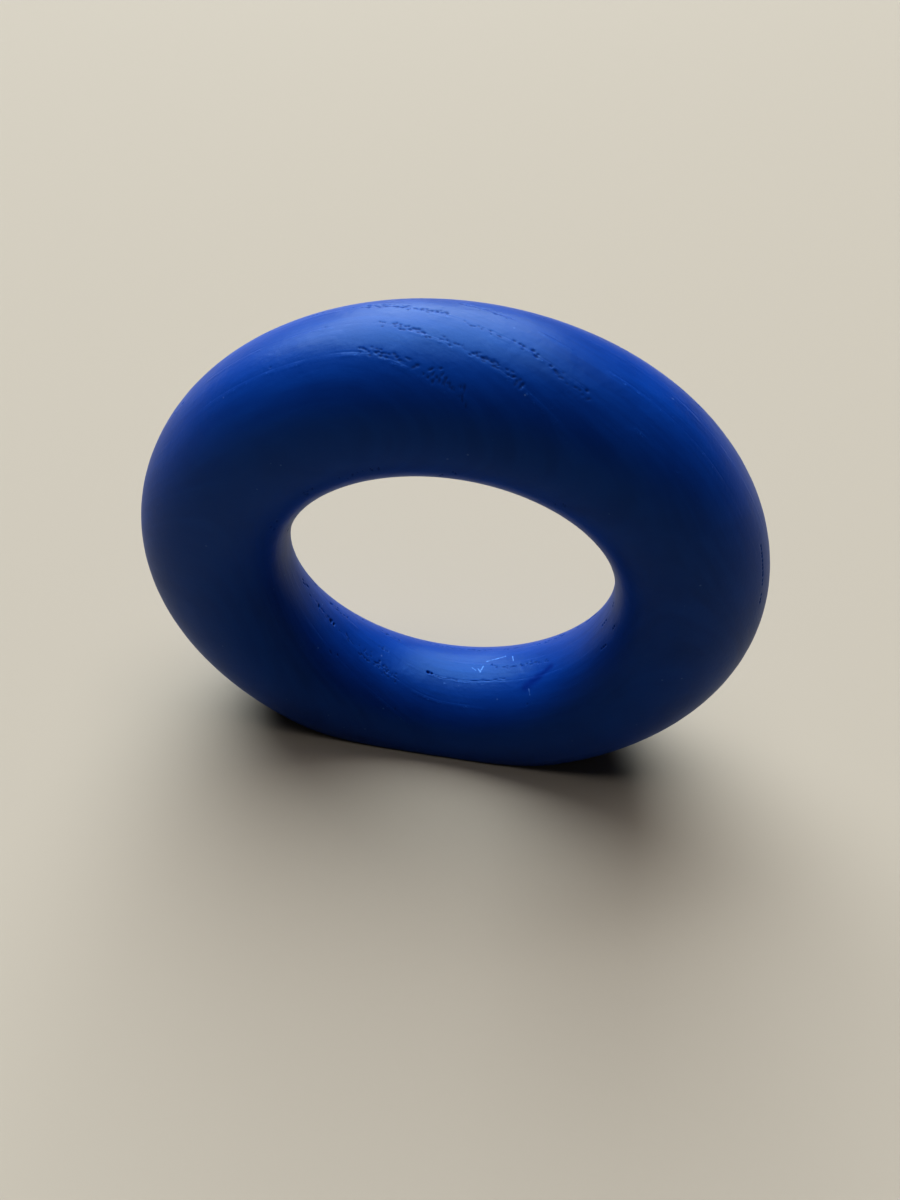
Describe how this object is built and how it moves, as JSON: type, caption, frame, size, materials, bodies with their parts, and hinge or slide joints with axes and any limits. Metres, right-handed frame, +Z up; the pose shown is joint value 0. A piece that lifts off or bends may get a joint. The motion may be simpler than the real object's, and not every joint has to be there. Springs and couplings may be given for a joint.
{
  "type": "hand grip ring",
  "caption": "Rigid wooden grip ring, painted satin blue, with a plump section and a flat foot that it stands on.",
  "frame": {"origin": "centre of the flat foot that the ring stands on", "axes": "+Z up, +Y along the axis of the hole, +X across the width of the ring"},
  "size_m": [0.088, 0.0196, 0.077],
  "materials": {
    "blue_painted_wood": "satin blue paint with the open grain of the wood showing through"
  },
  "bodies": {
    "root": {"grip_ring": "blue_painted_wood"}
  },
  "joints": []
}
